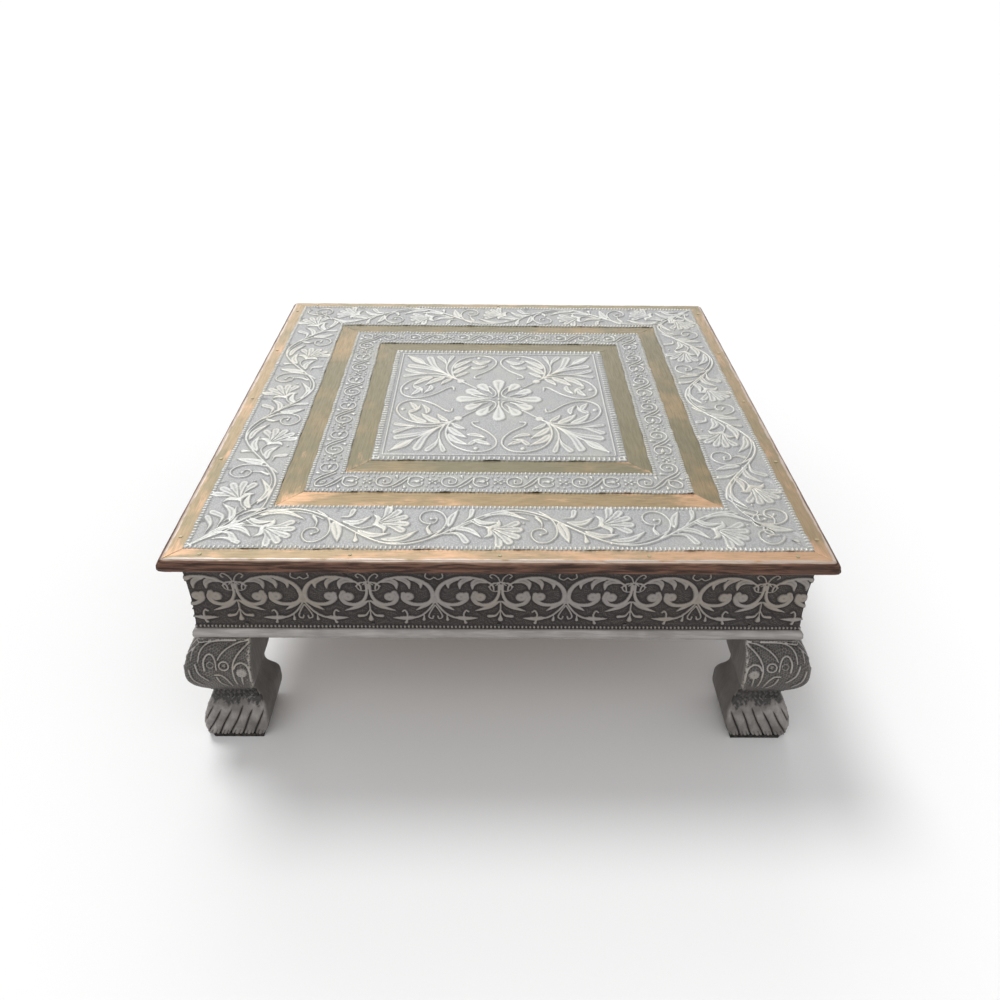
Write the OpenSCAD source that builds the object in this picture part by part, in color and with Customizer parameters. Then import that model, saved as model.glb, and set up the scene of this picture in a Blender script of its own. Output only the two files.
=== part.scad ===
// Low square table: a framed wooden board on four carved paw legs, clad in embossed sheet metal.
// Millimetres, +Z up, origin on the floor under the middle of the table, front towards -Y.

/* [Table] */
// Width of the square top over its wooden edge
top_w = 457; // [420:1:520]
// Height of the table from the floor to the top sheets
table_h = 178; // [165:1:200]
// Thickness of the projecting wooden edge with its sheets
edge_t = 10; // [9:0.5:14]
// How far the edge moulding rounds over from its arris to its widest line
edge_round = 4.5; // [3:0.5:6]

/* [Top sheets] */
// Thickness of the embossed white metal sheets with their relief
sheet_t = 1.8; // [1.2:0.1:2.4]
// Thickness of the plain brass bands
brass_t = 0.6; // [0.4:0.1:0.7]
// Width of the brass strip along the edge
edge_strip_w = 11; // [8:1:14]
// Width of the wide embossed border
outer_border_w = 50; // [40:1:54]
// Width of the brass band inside the wide border
outer_band_w = 18; // [12:1:20]
// Width of the narrow embossed border
inner_border_w = 26.5; // [20:0.5:30]
// Width of the brass band around the centre panel
inner_band_w = 17.5; // [12:0.5:20]

/* [Apron] */
// Setback of the apron face from the edge of the top
apron_setback = 11.3; // [10:0.1:14]
// Depth of the shallow cove along the apron
cove_depth = 1.4; // [0.5:0.1:3]
// Height of the half-round moulding under the apron sheet
base_moulding_h = 9; // [6:0.5:11]
// Setback of the base moulding from the edge of the top
base_setback = 8.9; // [8:0.1:10]
// Thickness of the apron rails
rail_t = 17; // [14:1:20]
// Thickness of the sheets on the apron and the legs
skin_t = 0.8; // [0.6:0.1:1]

/* [Legs] */
// Height of a leg with its foot pad
leg_h = 98.5; // [90:0.5:105]
// Width of a leg at its top, from the edge of the top inwards
leg_inner = 48.5; // [47:0.5:52]
// Setback of the leg face at its top
leg_setback = 9.6; // [9:0.1:11]
// How far the knee stands out past the edge of the top
knee_out = 2; // [0:0.1:4]
// Setback of the ankle
ankle_setback = 11; // [8:0.5:14]
// Height of the ankle above the floor
ankle_h = 43; // [40:1:46]
// Height of the lower edge of the leg cladding
cladding_low = 38; // [36:1:40]
// Thickness of the pad under each paw
pad_t = 3.5; // [2:0.5:5]

/* [Fasteners] */
// Radius of the dowel that joins a leg to its corner block
dowel_r = 5; // [4:0.5:6]
// Shank radius of the screws
screw_r = 1.8; // [1.5:0.1:2.2]
// Shank radius of the tacks that hold the sheets
tack_r = 0.5; // [0.4:0.1:0.7]
// Head radius of the tacks
tack_head_r = 1.3; // [1:0.1:1.6]
// Radial gap between a fastener and its hole
hole_gap = 0.05; // [0.02:0.01:0.1]

/* [Hidden] */
SIDES = ["front", "right", "back", "left"];
CORNERS = ["front_left", "front_right", "back_right", "back_left"];
// Nodes that repeat once for each side, and once for each corner
SIDE_NODES = ["edge_moulding", "edge_strip", "outer_border", "outer_band", "inner_border",
              "inner_band", "apron_rail", "apron_sheet", "base_moulding"];
CORNER_NODES = ["corner_block", "leg", "leg_cladding", "foot_pad"];

// Colours
wood_dark = [0.30, 0.19, 0.15];
wood_raw = [0.55, 0.42, 0.30];
white_metal = [0.80, 0.81, 0.79];
brass = [0.70, 0.62, 0.38];
dark_metal = [0.30, 0.28, 0.27];
base_metal = [0.62, 0.60, 0.57];
paw_grey = [0.50, 0.47, 0.44];
pad_dark = [0.14, 0.12, 0.11];
steel = [0.55, 0.56, 0.58];

// Half widths of the rings on the top, from the outside in
half_w = top_w / 2;
arris = half_w - edge_round;
border_out = arris - edge_strip_w;
band_out = border_out - outer_border_w;
inner_border_out = band_out - outer_band_w;
inner_band_out = inner_border_out - inner_border_w;
panel_out = inner_band_out - inner_band_w;

// Levels above the floor
board_top = table_h - sheet_t;
frame_top = table_h - edge_t;
rebate_depth = 8;
rebate_low = frame_top - rebate_depth;
sheet_low = leg_h + base_moulding_h;

// The board is held inside the mitred edge moulding
board_half = half_w - 23.5;
edge_nose = 1.5;
cove_mid = apron_setback + cove_depth;
rail_out = cove_mid + skin_t;
rail_in = rail_out + rail_t;
rebate_gap = 1;
rebate_half = half_w - rail_in - rebate_gap;

// Corner blocks, dowels and screws, as distances in from the edge of the top
block_w = 28;
block_in = rail_in + block_w;
dowel_in = 39.5;
dowel_half = 25;
board_screw_in = 52;
board_screw_low = 137;
board_screw_tip = 171;
board_screw_r = 2;
screw_head_r = 4;
screw_head_t = 2.4;
counterbore_r = 5;
block_screw_in = 40;
block_screw_tip = 20;
block_screw_levels = [142, 150];

// Tacks
tack_head_t = 0.4;
tack_l = 6;
edge_tack_row = [-200, -100, 0, 100, 200];
apron_tack_row = [-180, -90, 0, 90, 180];
apron_tack_h = 4;
// The first is far enough in that the tacks of the two faces pass each other at the corner
leg_tack_in = [17, 44];
leg_tack_drop = 2.5;

curve_steps = 10;
arc_steps = 8;
round_fn = 48;
small_fn = 24;
far = 300;

// A cubic curve from a to d, without its last point
function curve(a, b, c, d) = [
    for (i = [0 : curve_steps - 1])
        let (u = i / curve_steps, v = 1 - u)
            v * v * v * a + 3 * v * v * u * b + 3 * v * u * u * c + u * u * u * d
];

// Setback of the apron face at a level: a shallow cove between the top and the base moulding
function cove(z) =
    let (u = (2 * z - sheet_low - frame_top) / (frame_top - sheet_low))
        cove_mid - cove_depth * u * u;

// Outer face of a leg from its top to the floor, as [setback, level], pushed in by the skin
function leg_face(push) = concat(
    [[leg_setback + push, leg_h]],
    curve([leg_setback - 0.2 + push, leg_h - 5.5], [4 + push, leg_h - 7.5],
          [push - knee_out, 82], [push - knee_out, 69]),
    curve([push - knee_out, 69], [push - knee_out, 60],
          [4 + push, 52], [ankle_setback + push, ankle_h]),
    [[ankle_setback + push, ankle_h]]
);

// Front of a paw from the ankle to its pad
function paw_face() = concat(
    curve([ankle_setback - 1.6, cladding_low], [6.5, 31], [1, 25], [0.8, 12]),
    [[0.8, 12], [0.8, pad_t]]
);

// Inner face of a leg from the pad up to its top
function leg_back() = concat(
    [[46, pad_t]],
    curve([46.8, 5], [50, 8], [51, 12], [51, 18]),
    curve([51, 24], [51, 34], [43.5, 38], [43.5, 47]),
    curve([43.5, 47], [43.5, 54], [leg_inner, 56], [leg_inner, 66]),
    [[leg_inner, 66], [leg_inner, leg_h]]
);

// Outline of a whole leg, and of the wood under its cladding
leg_outline = concat(leg_face(0), paw_face(), leg_back());
wood_outline = concat(
    leg_face(skin_t), [[ankle_setback - 1.6 + skin_t, cladding_low]], paw_face(), leg_back()
);
// What the cladding leaves out: everything inside the skin and everything below its lower edge
skin_cut_outline = concat(
    [[leg_setback + skin_t, far]], leg_face(skin_t),
    [[ankle_setback - 1.6 + skin_t, cladding_low], [-far, cladding_low], [-far, -far],
     [far, -far], [far, far]]
);

module on_side(index) {
    rotate([0, 0, 90 * index]) children();
}

module at_corner(index) {
    rotate([0, 0, 90 * index]) translate([-half_w, -half_w, 0]) children();
}

// A flat mitred strip between two half widths, for the front side
module flat_strip(out, in, low, high) {
    translate([0, 0, low])
        linear_extrude(high - low)
            polygon([[-out, -out], [out, -out], [in, -in], [-in, -in]]);
}

// A mitred bar for the front side, from an outline of [distance from centre, level]
module profiled_bar(outline) {
    intersection() {
        translate([-half_w, 0, 0])
            rotate([90, 0, 90])
                linear_extrude(top_w)
                    polygon([for (p = outline) [-p[0], p[1]]]);
        linear_extrude(table_h)
            polygon([[0, 0], [-half_w, -half_w], [half_w, -half_w]]);
    }
}

// A body whose two outer and two inner faces all follow one outline, for the front left corner
module corner_body(outline) {
    intersection() {
        translate([-far, 0, 0]) rotate([90, 0, 90]) linear_extrude(2 * far) polygon(outline);
        translate([0, far, 0]) rotate([90, 0, 0]) linear_extrude(2 * far) polygon(outline);
    }
}

// A tack with its shank into the work and its head on the face at z = 0
module tack(grow = 0) {
    translate([0, 0, -tack_l]) cylinder(h = tack_l, r = tack_r + grow, $fn = small_fn);
    if (grow == 0) cylinder(h = tack_head_t, r = tack_head_r, $fn = small_fn);
}

module edge_tacks(grow = 0) {
    for (x = edge_tack_row)
        translate([x, -(arris + border_out) / 2, board_top + brass_t]) tack(grow);
}

module apron_tacks(grow = 0) {
    tack_z = sheet_low + apron_tack_h;
    for (x = apron_tack_row)
        translate([x, cove(tack_z) - half_w, tack_z]) rotate([90, 0, 0]) tack(grow);
}

module leg_tacks(grow = 0) {
    for (t = leg_tack_in) {
        translate([t, leg_setback, leg_h - leg_tack_drop]) rotate([90, 0, 0]) tack(grow);
        translate([leg_setback, t, leg_h - leg_tack_drop]) rotate([0, -90, 0]) tack(grow);
    }
}

// A screw with its head above z = 0 and its shank below
module screw(shank_r, length) {
    translate([0, 0, -length]) cylinder(h = length, r = shank_r, $fn = small_fn);
    cylinder(h = screw_head_t, r = screw_head_r, $fn = small_fn);
}

// The two screws that hold a corner block to its rails
module rail_screws() {
    length = block_in - block_screw_tip;
    translate([block_screw_in, block_in, block_screw_levels[0]])
        rotate([-90, 0, 0]) screw(screw_r, length);
    translate([block_in, block_screw_in, block_screw_levels[1]])
        rotate([0, 90, 0]) screw(screw_r, length);
}

// The holes for those screws
module rail_screw_holes() {
    length = block_in - block_screw_tip;
    hole_r = screw_r + hole_gap;
    translate([block_screw_in, block_screw_tip, block_screw_levels[0]])
        rotate([-90, 0, 0]) cylinder(h = length + 1, r = hole_r, $fn = small_fn);
    translate([block_screw_tip, block_screw_in, block_screw_levels[1]])
        rotate([0, 90, 0]) cylinder(h = length + 1, r = hole_r, $fn = small_fn);
}

module board_screw_hole(low) {
    translate([board_screw_in, board_screw_in, low])
        cylinder(h = board_screw_tip - low, r = board_screw_r + hole_gap, $fn = small_fn);
}

module dowel_hole() {
    translate([dowel_in, dowel_in, leg_h - dowel_half])
        cylinder(h = 2 * dowel_half, r = dowel_r + hole_gap, $fn = round_fn);
}

// Wooden board under the sheets, rebated to drop between the rails
module top_board() {
    color(wood_raw) difference() {
        union() {
            translate([-board_half, -board_half, frame_top])
                cube([2 * board_half, 2 * board_half, board_top - frame_top]);
            translate([-rebate_half, -rebate_half, rebate_low])
                cube([2 * rebate_half, 2 * rebate_half, rebate_depth]);
        }
        for (i = [0 : 3]) at_corner(i) board_screw_hole(rebate_low - 1);
    }
}

// Stained wooden moulding around the board
module edge_moulding(index) {
    drop = board_top - frame_top - edge_nose;
    round_over = [
        for (i = [0 : arc_steps])
            let (a = 90 * i / arc_steps)
                [arris + edge_round * sin(a), board_top - drop * (1 - cos(a))]
    ];
    outline = concat(
        [[board_half, frame_top], [board_half, board_top]],
        round_over,
        [[half_w - edge_nose, frame_top]]
    );
    color(wood_dark) on_side(index) difference() {
        profiled_bar(outline);
        edge_tacks(hole_gap);
    }
}

// Brass strip tacked along the edge of the top
module edge_strip(index) {
    color(brass) on_side(index) difference() {
        flat_strip(arris, border_out, board_top, board_top + brass_t);
        edge_tacks(hole_gap);
    }
}

// Wide embossed border
module outer_border(index) {
    color(white_metal) on_side(index) flat_strip(border_out, band_out, board_top, table_h);
}

// Plain brass band inside the wide border
module outer_band(index) {
    color(brass) on_side(index)
        flat_strip(band_out, inner_border_out, board_top, board_top + brass_t);
}

// Narrow embossed border
module inner_border(index) {
    color(white_metal) on_side(index)
        flat_strip(inner_border_out, inner_band_out, board_top, table_h);
}

// Plain brass band around the centre panel
module inner_band(index) {
    color(brass) on_side(index)
        flat_strip(inner_band_out, panel_out, board_top, board_top + brass_t);
}

// Embossed square panel in the middle of the top
module centre_panel() {
    color(white_metal)
        translate([-panel_out, -panel_out, board_top])
            cube([2 * panel_out, 2 * panel_out, sheet_t]);
}

// Wooden rail of the apron frame, with a shallow cove for its sheet
module apron_rail(index) {
    face = [
        for (i = [0 : arc_steps])
            let (z = frame_top + (sheet_low - frame_top) * i / arc_steps)
                [half_w - cove(z) - skin_t, z]
    ];
    outline = concat(
        [[half_w - rail_in, leg_h], [half_w - rail_in, frame_top]],
        face,
        [[half_w - rail_out, sheet_low], [half_w - rail_out, leg_h]]
    );
    color(wood_raw) on_side(index) difference() {
        profiled_bar(outline);
        apron_tacks(hole_gap);
        translate([-half_w, -half_w, 0]) rail_screw_holes();
        rotate([0, 0, 90]) translate([-half_w, -half_w, 0]) rail_screw_holes();
    }
}

// Dark embossed sheet over the cove of a rail
module apron_sheet(index) {
    levels = [for (i = [0 : arc_steps]) frame_top + (sheet_low - frame_top) * i / arc_steps];
    outline = concat(
        [for (z = levels) [half_w - cove(z), z]],
        [for (i = [arc_steps : -1 : 0]) [half_w - cove(levels[i]) - skin_t, levels[i]]]
    );
    color(dark_metal) on_side(index) difference() {
        profiled_bar(outline);
        apron_tacks(hole_gap);
    }
}

// Half-round moulding under the apron sheet
module base_moulding(index) {
    middle = leg_h + base_moulding_h / 2;
    depth = rail_out - base_setback;
    nose = [
        for (i = [0 : arc_steps])
            let (a = 90 - 180 * i / arc_steps)
                [half_w - rail_out + 1.8 + (depth - 1.8) * cos(a), middle + base_moulding_h / 2 * sin(a)]
    ];
    outline = concat([[half_w - rail_out, leg_h], [half_w - rail_out, sheet_low]], nose);
    color(base_metal) on_side(index) profiled_bar(outline);
}

// Block glued and screwed into a corner of the apron frame
module corner_block(index) {
    color(wood_raw) at_corner(index) difference() {
        translate([rail_in, rail_in, leg_h]) cube([block_w, block_w, rebate_low - leg_h]);
        rail_screw_holes();
        dowel_hole();
        board_screw_hole(leg_h - 1);
        translate([board_screw_in, board_screw_in, leg_h - 1])
            cylinder(h = board_screw_low - leg_h + 1, r = counterbore_r, $fn = round_fn);
    }
}

// Carved wooden leg with its paw
module leg(index) {
    color(paw_grey) at_corner(index) difference() {
        corner_body(wood_outline);
        dowel_hole();
        leg_tacks(hole_gap);
    }
}

// Embossed sheet over the two outer faces of a leg, from the apron to the ankle
module leg_cladding(index) {
    color(dark_metal) at_corner(index) difference() {
        corner_body(leg_outline);
        corner_body(skin_cut_outline);
        leg_tacks(hole_gap);
    }
}

// Thin pad under a paw
module foot_pad(index) {
    pad_out = 1.5;
    pad_in = 45.5;
    chamfer = 6;
    color(pad_dark) at_corner(index)
        linear_extrude(pad_t)
            polygon([[pad_out + chamfer, pad_out], [pad_in, pad_out], [pad_in, pad_in],
                     [pad_out, pad_in], [pad_out, pad_out + chamfer]]);
}

// Wooden dowels between the legs and the corner blocks
module leg_dowels() {
    color(wood_raw) for (i = [0 : 3]) at_corner(i)
        translate([dowel_in, dowel_in, leg_h - dowel_half])
            cylinder(h = 2 * dowel_half, r = dowel_r, $fn = round_fn);
}

// Screws that hold the corner blocks to the rails
module block_screws() {
    color(steel) for (i = [0 : 3]) at_corner(i) rail_screws();
}

// Screws that hold the board down on the corner blocks
module board_screws() {
    color(steel) for (i = [0 : 3]) at_corner(i)
        translate([board_screw_in, board_screw_in, board_screw_low])
            rotate([180, 0, 0]) screw(board_screw_r, board_screw_tip - board_screw_low);
}

// Brass tacks that hold the strips, the apron sheets and the leg cladding
module sheet_tacks() {
    color(brass) for (i = [0 : 3]) {
        on_side(i) edge_tacks();
        on_side(i) apron_tacks();
        at_corner(i) leg_tacks();
    }
}

top_board();
centre_panel();
leg_dowels();
block_screws();
board_screws();
sheet_tacks();
for (i = [0 : 3]) {
    edge_moulding(i);
    edge_strip(i);
    outer_border(i);
    outer_band(i);
    inner_border(i);
    inner_band(i);
    apron_rail(i);
    apron_sheet(i);
    base_moulding(i);
    corner_block(i);
    leg(i);
    leg_cladding(i);
    foot_pad(i);
}
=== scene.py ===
"""Low square table in embossed metal over wood: its looks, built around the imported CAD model.

Lengths in the ornament and the outlines are millimetres; Blender gets metres at the end.
"""

import math

import bpy
import numpy as np
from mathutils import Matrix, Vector


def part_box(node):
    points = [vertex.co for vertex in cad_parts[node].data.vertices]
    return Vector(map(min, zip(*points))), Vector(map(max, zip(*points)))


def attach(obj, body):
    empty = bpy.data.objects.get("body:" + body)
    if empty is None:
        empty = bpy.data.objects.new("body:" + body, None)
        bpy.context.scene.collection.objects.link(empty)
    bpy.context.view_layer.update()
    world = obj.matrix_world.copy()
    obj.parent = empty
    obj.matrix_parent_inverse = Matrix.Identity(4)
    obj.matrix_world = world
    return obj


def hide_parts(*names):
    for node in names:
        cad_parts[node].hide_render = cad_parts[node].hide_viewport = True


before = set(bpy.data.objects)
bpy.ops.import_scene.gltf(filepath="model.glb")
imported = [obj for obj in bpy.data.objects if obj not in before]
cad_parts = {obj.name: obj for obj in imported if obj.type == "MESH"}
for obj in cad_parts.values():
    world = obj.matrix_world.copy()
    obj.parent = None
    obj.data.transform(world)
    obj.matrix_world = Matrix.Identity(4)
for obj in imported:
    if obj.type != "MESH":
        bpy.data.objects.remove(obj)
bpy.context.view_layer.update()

MM = 0.001
SIDES = ("front", "right", "back", "left")
CORNERS = ("front_left", "front_right", "back_right", "back_left")


def reach(node):
    """How far a CAD node reaches from the middle of the table, in millimetres."""
    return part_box(node)[1][0] / MM


def levels(node):
    """The lowest and the highest level of a CAD node, in millimetres."""
    low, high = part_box(node)
    return low[2] / MM, high[2] / MM


# ---------------- sizes from the frame
HALF = reach("edge_moulding_front")
ARRIS = reach("edge_strip_front")
BORDER_OUT = reach("outer_border_front")
BAND_OUT = reach("outer_band_front")
NARROW_OUT = reach("inner_border_front")
NARROW_BAND_OUT = reach("inner_band_front")
PANEL_OUT = reach("centre_panel")
BASE_OUT = reach("base_moulding_front")
APRON_OUT = reach("apron_sheet_front")
BOARD_TOP, TOP = levels("centre_panel")
SLAB_LOW = levels("edge_moulding_front")[0]
SHEET_LOW = levels("apron_sheet_front")[0]
LEG_TOP = levels("base_moulding_front")[0]
PAD_TOP = levels("foot_pad_front_left")[1]

BRASS_TOP = BOARD_TOP + 0.45
STRIP_TOP = BOARD_TOP + 0.6
# Height of the raised work over the punched ground, and the depth of the punches
RELIEF_H = 1.05
PUNCH_DEPTH = 0.12
GROUND = TOP - RELIEF_H
# A little above the ground's lowest point, to tell the face of a sheet from its back
FACE_MARGIN = 0.01
SHEET_GAUGE = 0.3
COVE_DEPTH = 1.4
SKIN = 0.8


# ---------------- curves
def smooth_path(points, per_span=8):
    """A smooth curve through the points."""
    p = np.array(points, float)
    if len(p) == 2:
        u = np.linspace(0, 1, per_span + 1)[:, None]
        return p[0] * (1 - u) + p[1] * u
    ends = np.vstack([2 * p[0] - p[1], p, 2 * p[-1] - p[-2]])
    u = np.linspace(0, 1, per_span, endpoint=False)[:, None]
    spans = []
    for a, b, c, d in zip(ends, ends[1:], ends[2:], ends[3:]):
        spans.append(0.5 * (2 * b + (c - a) * u + (2 * a - 5 * b + 4 * c - d) * u**2
                            + (3 * b - a - 3 * c + d) * u**3))
    return np.vstack(spans + [p[-1:]])


def spaced(points):
    """A smooth curve through the points, and each of its points' share of the way, 0 to 1."""
    path = smooth_path(points)
    return path, np.linspace(0, 1, len(path))


def bezier(a, b, c, d, steps):
    """A cubic curve from a to d, without its last point."""
    u = np.linspace(0, 1, steps, endpoint=False)[:, None]
    a, b, c, d = (np.array(p, float) for p in (a, b, c, d))
    return (1 - u)**3 * a + 3 * (1 - u)**2 * u * b + 3 * (1 - u) * u**2 * c + u**3 * d


def arc_length(points):
    """Each point's distance along the path from its first point."""
    steps = np.linalg.norm(np.diff(points, axis=0), axis=1)
    return np.concatenate([[0], np.cumsum(steps)])


def wave(x, seed, lengths=(61.0, 23.0, 9.7)):
    """A smooth, repeatable unevenness along a length, about -1 to 1."""
    total = 0
    for i, length in enumerate(lengths):
        total = total + math.pow(0.6, i) * np.sin(2 * np.pi * x / length + seed * (i + 2.3))
    return total / 1.6


# ---------------- raised work
def blurred(grid, reach):
    """Each cell's mean over a square that reaches that many cells each way, twice over."""
    for _ in range(2):
        for axis in (0, 1):
            widths = [(reach + 1, reach) if axis == k else (0, 0) for k in (0, 1)]
            total = np.cumsum(np.pad(grid, widths, mode="edge"), axis=axis, dtype=np.float64)
            count = grid.shape[axis]
            upper = np.take(total, range(2 * reach + 1, 2 * reach + 1 + count), axis)
            grid = (upper - np.take(total, range(count), axis)) / (2 * reach + 1)
    return grid


# How far a wide ridge is dished along its middle, and how far its foot's shadow reaches
DISH = 0.36
FOOT_REACH = 1.3


class Relief:
    """A height map over a rectangle, on which stems, leaves and beads are raised."""

    def __init__(self, x_range, y_range, step):
        self.x0, self.y0, self.step = x_range[0], y_range[0], step
        self.x = np.arange(x_range[0], x_range[1] + step, step)
        self.y = np.arange(y_range[0], y_range[1] + step, step)
        self.height = np.zeros((len(self.y), len(self.x)), np.float32)

    def _window(self, low, high):
        i0 = max(0, int((low[0] - self.x0) / self.step))
        i1 = min(len(self.x), int((high[0] - self.x0) / self.step) + 2)
        j0 = max(0, int((low[1] - self.y0) / self.step))
        j1 = min(len(self.y), int((high[1] - self.y0) / self.step) + 2)
        return (slice(j0, j1), slice(i0, i1)) if i1 > i0 and j1 > j0 else None

    def stroke(self, path, radii, height=1.0, cut=False, dish=DISH):
        """A rounded ridge along a path whose half width changes, or with cut a groove.

        A wide ridge is dished along its middle by the share in dish, like a chased leaf.
        """
        path = np.asarray(path, float)
        radii = np.broadcast_to(np.asarray(radii, float), (len(path),))
        reach = radii.max()
        whole = self._window(path.min(0) - reach, path.max(0) + reach)
        if whole is None:
            return
        near = np.ones(self.height[whole].shape, np.float32)
        width = np.zeros_like(near)
        x, y = self.x[whole[1]], self.y[whole[0]]
        for a, b, ra, rb in zip(path, path[1:], radii, radii[1:]):
            reach = max(ra, rb)
            i = np.searchsorted(x, (min(a[0], b[0]) - reach, max(a[0], b[0]) + reach))
            j = np.searchsorted(y, (min(a[1], b[1]) - reach, max(a[1], b[1]) + reach))
            spot = (slice(*j), slice(*i))
            dx = x[None, slice(*i)] - a[0]
            dy = y[slice(*j), None] - a[1]
            run = b - a
            t = np.clip((dx * run[0] + dy * run[1]) / max(run @ run, 1e-9), 0, 1)
            r = np.maximum(ra + (rb - ra) * t, 1e-3)
            q = ((dx - t * run[0])**2 + (dy - t * run[1])**2) / r**2
            width[spot] = np.where(q < near[spot], r, width[spot])
            near[spot] = np.minimum(near[spot], q)
        if cut:
            self.height[whole] *= 1 - height * np.sqrt(1 - near)
            return
        hollow = dish * np.clip((width - 1.3) / 1.2, 0, 1)
        ridge = height * (1 - near)**(0.5 - 0.2 * hollow)
        ridge *= 1 - hollow * np.clip(1 - np.sqrt(near) / 0.72, 0, 1)
        self.height[whole] = np.maximum(self.height[whole], ridge)

    def settle(self):
        """Finds the foot of the raised work: low ground with higher work beside it."""
        soft = blurred(self.height, int(FOOT_REACH / self.step))
        self.low = np.clip(soft - self.height, 0, 1)
        return self

    def sample(self, x, y):
        """Heights at points, and how close they are to the foot of something raised."""
        fx = np.clip((x - self.x0) / self.step, 0, len(self.x) - 1.001)
        fy = np.clip((y - self.y0) / self.step, 0, len(self.y) - 1.001)
        i, j = fx.astype(int), fy.astype(int)
        u, v = fx - i, fy - j
        return [(1 - u) * (1 - v) * h[j, i] + u * (1 - v) * h[j, i + 1]
                + (1 - u) * v * h[j + 1, i] + u * v * h[j + 1, i + 1]
                for h in (self.height, self.low)]


# A tulip's petals and the angle that they fan over
PETALS = 5
FAN = 84.0


class Pen:
    """Draws ornament on a relief after moving, turning or mirroring it."""

    def __init__(self, relief, shift=(0, 0), matrix=((1, 0), (0, 1))):
        self.relief = relief
        self.shift = np.array(shift, float)
        self.matrix = np.array(matrix, float)

    def at(self, x, y):
        return Pen(self.relief, self.shift + self.matrix @ (x, y), self.matrix)

    def mirrored(self):
        return Pen(self.relief, self.shift, self.matrix @ np.diag([-1, 1]))

    def trace(self, path, radii, height=1.0, cut=False, dish=DISH):
        """A ridge or a groove along a path that is already smooth."""
        self.relief.stroke(path @ self.matrix.T + self.shift, radii, height, cut, dish)

    def line(self, points, start=0.8, end=None, height=0.85):
        """A stem that may taper."""
        path, u = spaced(points)
        self.trace(path, start + ((start if end is None else end) - start) * u, height)

    def blade(self, points, width):
        """A plain pointed leaf along the points, widest before its middle."""
        path, u = spaced(points)
        self.trace(path, 0.25 + width * np.sin(np.pi * u**0.8)**0.85, 0.95)
        return path

    def leaf(self, points, width):
        """A pointed leaf with a vein cut along it."""
        path = self.blade(points, width)
        self.trace(path[len(path) // 5: -len(path) // 4], 0.3, 0.35, cut=True)

    def comma(self, points, width):
        """A curl that swells towards its round end."""
        path, u = spaced(points)
        swell = np.sin(0.5 * np.pi * u**1.1)**1.2
        self.trace(path, 0.3 + (width - 0.3) * swell, 0.95, dish=0.58)

    def drop(self, a, b, width):
        """A teardrop, pointed at a and round at b."""
        path, u = spaced([a, b])
        self.trace(path, 0.15 + (width - 0.15) * u**1.3)

    def dot(self, x, y, radius, height=1.0):
        self.trace(np.array([[x, y], [x + 0.01, y]]), radius, height)

    def volute(self, points, width=0.8, eye=1.5):
        """A stem that winds up to a round eye at its last point."""
        self.line(points, width, width * 0.75)
        self.dot(*points[-1], eye)

    def ring(self, x, y, radius, width, height=0.85):
        a = np.radians(np.linspace(0, 360, 30))
        path = np.stack([x + radius * np.cos(a), y + radius * np.sin(a)], 1)
        self.trace(path, width, height)

    def tulip(self, x, y, angle, size):
        """A fan of touching petals that opens at an angle from its base, with two sepals."""
        base = np.array((x, y), float)

        def out(share, turn):
            """The point at a share of the size from the base, turned from the middle petal."""
            a = math.radians(angle + turn)
            return base + share * size * np.array((math.cos(a), math.sin(a)))

        for i in range(PETALS):
            side_share = i / (PETALS - 1) - 0.5
            tip = out(0.98 - 0.28 * side_share**2, FAN * side_share)
            self.comma([base, out(0.5, FAN * side_share * 0.7), tip], 0.148 * size)
        for i in range(PETALS - 1):
            turn = FAN * ((i + 0.5) / (PETALS - 1) - 0.5) * 0.9
            self.trace(smooth_path([out(0.16, turn), out(0.74, turn)]), 0.5, 0.75, cut=True)
        for way in (-1, 1):
            self.blade([base, out(0.34, way * FAN * 0.62), out(0.52, way * FAN * 0.92)],
                       0.09 * size)
        self.dot(x, y, 0.09 * size, 0.9)


def beads(pen, half, y0, y1, pitch, radius):
    """A row of short beads across an edge, over half its length each way from the middle."""
    count = int(2 * half / pitch)
    for i in range(count + 1):
        x = 2 * half * i / count - half
        pen.line([(x, y0), (x, y1)], radius, height=0.9)


def punched(x, y, pitch, seed):
    """The fine punched ground: a hexagonal dot pattern that wanders a little, 0 to 1."""
    wx = x + 0.35 * pitch * np.sin(y / 3.1 + seed) + 0.25 * pitch * np.sin(x / 1.7 + y / 2.3)
    wy = y + 0.35 * pitch * np.sin(x / 2.7 + seed * 2) + 0.25 * pitch * np.sin(y / 1.9 - x / 2.9)
    k = 2 * np.pi / pitch
    total = sum(np.cos(k * (wx * math.cos(a) + wy * math.sin(a)))
                for a in (0.0, 2 * np.pi / 3, 4 * np.pi / 3))
    return np.clip((total + 1.5) / 4.5, 0, 1)


# ---------------- wide border
BORDER_MID = (BORDER_OUT + BAND_OUT) / 2
VINE_PERIOD = 158.0
VINE_REACH = 20.0
VINE_CREST = 10.0


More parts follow.
